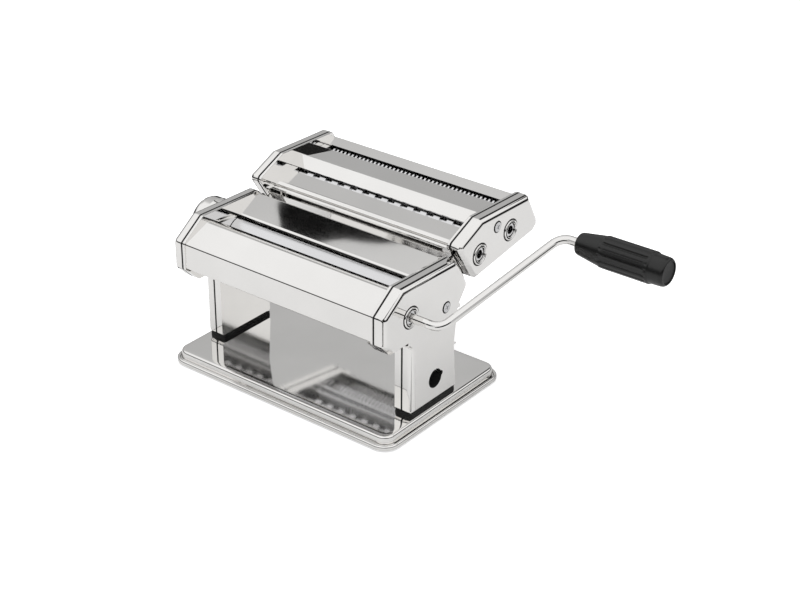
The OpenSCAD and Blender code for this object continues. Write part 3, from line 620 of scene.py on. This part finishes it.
def make_socket_rings(chrome, shade):
    """Drawn rings round the sockets for the crank, each with painted shade in the groove between its two
    beads.
    """
    for name, node, face_at, centers in (("socket_ring", "crank_socket_ring", FRAME_FACE, [CRANK_AXIS]),
                                         ("cutter_rings", "cutter_socket_rings", CUTTER_FACE, CUTTER_AXES)):
        profile = [(face_at + height, radius) for height, radius in RING_PROFILE]
        rings = joined(name, [lathe_x("ring", center, profile) for center in centers])
        mesh = weigh_normals(rings, math.radians(50.0))
        for face in mesh.polygons:
            reach = min(math.hypot(face.center.y / MM - y, face.center.z / MM - z) for y, z in centers)
            in_groove = RING_GROOVE[0] < reach < RING_GROOVE[1]
            face.material_index = int(face.center.x / MM > face_at and in_groove)
        stand_in(name, node, mesh, [chrome, shade])


HEAD_GAP, RING_GAP = (3.9, 5.0), (8.3, 9.4)  # inner and outer radius round a screw head and a socket ring
GAP_DEPTH, GAP_PROUD = 0.3, 0.03             # how far a gap goes under and over the cap's face
# Node the gap moves with, x of the cap's face, (y, z) of the axis, radii
SHADOW_GAPS = [
    ("cap_screws", FRAME_FACE, (4.7, 91.8), HEAD_GAP),
    ("cap_screws", -FRAME_FACE, (4.0, 60.0), HEAD_GAP),
    ("cap_screws", FRAME_FACE, CRANK_AXIS, RING_GAP),
    ("cutter_screws", CUTTER_FACE, (68.03, 135.69), HEAD_GAP),
    ("cutter_screws", -CUTTER_FACE, (74.03, 112.49), HEAD_GAP),
    *(("cutter_screws", CUTTER_FACE, axis, RING_GAP) for axis in CUTTER_AXES),
]


def make_shadow_gaps(shade):
    """Painted shade: dark rings over the clearance round the screw heads and the socket rings, a hair proud of
    the caps.
    """
    for k, (node, face_at, center, (inner, outer)) in enumerate(SHADOW_GAPS):
        side = math.copysign(1.0, face_at)
        low, high = face_at - side * GAP_DEPTH, face_at + side * GAP_PROUD
        profile = [(low, inner), (high, inner), (high, outer), (low, outer)]
        name = f"shadow_gap_{k}"
        add_shade(name, node, lathe_x(name, center, profile, steps=48), shade)


# ---- light and surroundings ---------------------------------------------------

FLOOR_HALF = 4.0
FLOOR_DARKENS = (0.75, 1.6)                  # metres from the origin between which the table turns dark
FLOOR_TONES = [(0.0, grey(0.82)), (1.0, grey(0.05))]
FLOOR_LIFT = (0.62, 1.0)                     # glow that only the camera sees, near and far


def make_floor():
    """Pale table: white to the camera with a soft shadow; in reflections it darkens far out."""
    mesh = bpy.data.meshes.new("floor")
    corners = [(x * FLOOR_HALF, y * FLOOR_HALF, 0) for x, y in ((-1, -1), (1, -1), (1, 1), (-1, 1))]
    mesh.from_pydata(corners, [], [(0, 1, 2, 3)])
    floor = bpy.data.objects.new("floor", mesh)
    scene.collection.objects.link(floor)
    material, tree, shader = new_material("white_table")
    place = tree.add("ShaderNodeTexCoord")
    reach = tree.add("ShaderNodeVectorMath", operation="LENGTH")
    tree.wire(place, "Object", reach, 0)
    far = tree.step(reach, "Value", *FLOOR_DARKENS)
    tone = tree.ramp(far, "Result", FLOOR_TONES)
    tree.wire(tone, "Color", shader, "Base Color")
    shader.inputs["Roughness"].default_value = 0.9
    shader.inputs["Specular IOR Level"].default_value = 0.0
    path = tree.add("ShaderNodeLightPath")
    lift = tree.spread(far, "Result", *FLOOR_LIFT)
    seen = tree.add("ShaderNodeMath", operation="MULTIPLY")
    tree.wire(path, "Is Camera Ray", seen, 0)
    tree.wire(lift, "Result", seen, 1)
    glow = tree.add("ShaderNodeEmission")
    tree.wire(seen, "Value", glow, "Strength")
    both = tree.add("ShaderNodeAddShader")
    output = next(n for n in tree.tree.nodes if n.bl_idname == "ShaderNodeOutputMaterial")
    tree.wire(shader, "BSDF", both, 0)
    tree.wire(glow, "Emission", both, 1)
    tree.wire(both, "Shader", output, "Surface")
    mesh.materials.append(material)


# The card's centre, and what a millimetre along and across the hopper plate comes to on it
CARD_AT = Vector((-0.2595, 0.1775, 0.4405))
CARD_ALONG = Vector((0.00122, 0.00009, 0.00013))
CARD_ACROSS = Vector((0.0, 0.00115, 0.0002))
# Outline of the dark patch, in mm along and across the hopper plate
CARD_SHAPE = [
    (-74, 40), (-70, 16), (-62, 6), (-55, -2), (-42, -18), (-10, -18), (-4, -11), (2, -4.5), (9, 0.5),
    (18, 3.2), (28, 6), (40, 11), (52, 20), (66, 40),
]


def make_card():
    """Black card behind the machine, seen only as the dark patch mirrored in the hopper plate."""
    mesh = bpy.data.meshes.new("dark_card")
    corners = [CARD_AT + CARD_ALONG * along + CARD_ACROSS * across for along, across in CARD_SHAPE]
    mesh.from_pydata(corners, [], [tuple(range(len(corners)))])
    material, tree, shader = new_material("black_cloth")
    drift_color(tree, shader, grey(0.008), 30.0, 4.0, 0.5)
    shader.inputs["Roughness"].default_value = 1.0
    shader.inputs["Specular IOR Level"].default_value = 0.0
    mesh.materials.append(material)
    card = bpy.data.objects.new("dark_card", mesh)
    scene.collection.objects.link(card)
    card.visible_camera = False
    card.visible_diffuse = False
    card.visible_shadow = False


def flag(tree, place, toward, outer_edge, inner_edge):
    """1 inside a cone of directions round `toward`, given the cosines of its two edges."""
    side = tree.add("ShaderNodeVectorMath", operation="DOT_PRODUCT")
    side.inputs[1].default_value = Vector(toward).normalized()
    tree.wire(place, "Generated", side, 0)
    return tree.step(side, "Value", outer_edge, inner_edge)


def blend_colors(tree, share, below, above):
    """Mixes two colours, each a (node, socket) pair or a constant; gives the (node, socket) of the mix."""
    mix = tree.add("ShaderNodeMix", data_type="RGBA")
    tree.wire(share, "Result", mix, 0)
    for index, color in ((6, below), (7, above)):
        if hasattr(color[0], "outputs"):
            tree.wire(*color, mix, index)
        else:
            mix.inputs[index].default_value = (*color, 1.0)
    return mix, 2


# Directions of the grey wall and the two dark flags, each with the cosines of its outer and inner edge
WALL = ((-0.6, 0.8, 0.0), 0.48, 0.64)
FRONT_FLAG = ((0.76, -0.65, 0.03), 0.88, 0.93)
BACK_FLAG = ((-0.13, 0.694, 0.70), 0.962, 0.980)
FRONT_FLAG_TONE, BACK_FLAG_TONE = 0.008, 0.03
HORIZON_TONE = 0.015
# Tones by height: 0 straight down, 0.5 at the horizon, 1 straight up
LOW_TONES = [(0.0, grey(HORIZON_TONE)), (0.50, grey(HORIZON_TONE))]
WALL_TONES = LOW_TONES + [(0.555, grey(HORIZON_TONE)), (0.585, grey(0.44)), (0.72, grey(0.50)),
    (0.84, grey(0.60)), (0.93, grey(0.92)), (1.0, grey(0.96))]
TENT_TONES = LOW_TONES + [(0.635, grey(HORIZON_TONE)), (0.69, grey(0.92)), (0.80, grey(1.0)),
    (1.0, grey(1.0))]


def make_world():
    """White tent over a dark horizon: grey wall back left, dark flags low front right and high at the back."""
    world = bpy.data.worlds.new("studio")
    scene.world = world
    tree = Tree(world)
    place = tree.add("ShaderNodeTexCoord")
    split = tree.add("ShaderNodeSeparateXYZ")
    tree.wire(place, "Generated", split, "Vector")
    height = tree.add("ShaderNodeMapRange")
    height.inputs["From Min"].default_value = -1.0
    height.inputs["From Max"].default_value = 1.0
    tree.wire(split, "Z", height, "Value")
    wall = tree.ramp(height, "Result", WALL_TONES)
    tent = tree.ramp(height, "Result", TENT_TONES)
    room = blend_colors(tree, flag(tree, place, *WALL), (tent, "Color"), (wall, "Color"))
    room = blend_colors(tree, flag(tree, place, *FRONT_FLAG), room, grey(FRONT_FLAG_TONE))
    room = blend_colors(tree, flag(tree, place, *BACK_FLAG), room, grey(BACK_FLAG_TONE))
    path = tree.add("ShaderNodeLightPath")
    lit = tree.add("ShaderNodeBackground")
    tree.wire(*room, lit, "Color")
    plain = tree.add("ShaderNodeBackground")
    plain.inputs["Color"].default_value = (1.0, 1.0, 1.0, 1.0)
    mix = tree.add("ShaderNodeMixShader")
    output = tree.add("ShaderNodeOutputWorld")
    tree.wire(path, "Is Camera Ray", mix, 0)
    tree.wire(lit, "Background", mix, 1)
    tree.wire(plain, "Background", mix, 2)
    tree.wire(mix, "Shader", output, "Surface")


LAMP_AT = Vector((-0.15, -0.05, 1.6))
LAMP_SIZE = (1.3, 1.1)
LAMP_WATTS = 9.0


def make_lamp():
    """Softbox over the machine, turned to the origin and left out of the chrome's reflections."""
    data = bpy.data.lights.new("overhead_softbox", "AREA")
    data.shape = "RECTANGLE"
    data.size, data.size_y = LAMP_SIZE
    data.energy = LAMP_WATTS
    data.cycles.max_bounces = 8
    lamp = bpy.data.objects.new("overhead_softbox", data)
    scene.collection.objects.link(lamp)
    lamp.matrix_world = Matrix.Translation(LAMP_AT) @ LAMP_AT.to_track_quat("Z", "Y").to_matrix().to_4x4()
    lamp.visible_glossy = False


make_camera()
materials = make_materials()
dress_cad(materials)
soften_caps(materials["chrome"], materials["shade"])
soften_frames(materials["chrome"], materials["shade"])
soften_sheets(materials["chrome"])
make_painted_shade_bands(materials["shade"])
make_base(materials["chrome"], materials["shade"])
make_pads(materials["rubber"])
make_grip(materials["black_plastic"], materials["insert"])
make_socket_rings(materials["chrome"], materials["shade"])
make_shadow_gaps(materials["shade"])
make_world()
make_floor()
make_card()
make_lamp()

scene.view_settings.view_transform = "Standard"
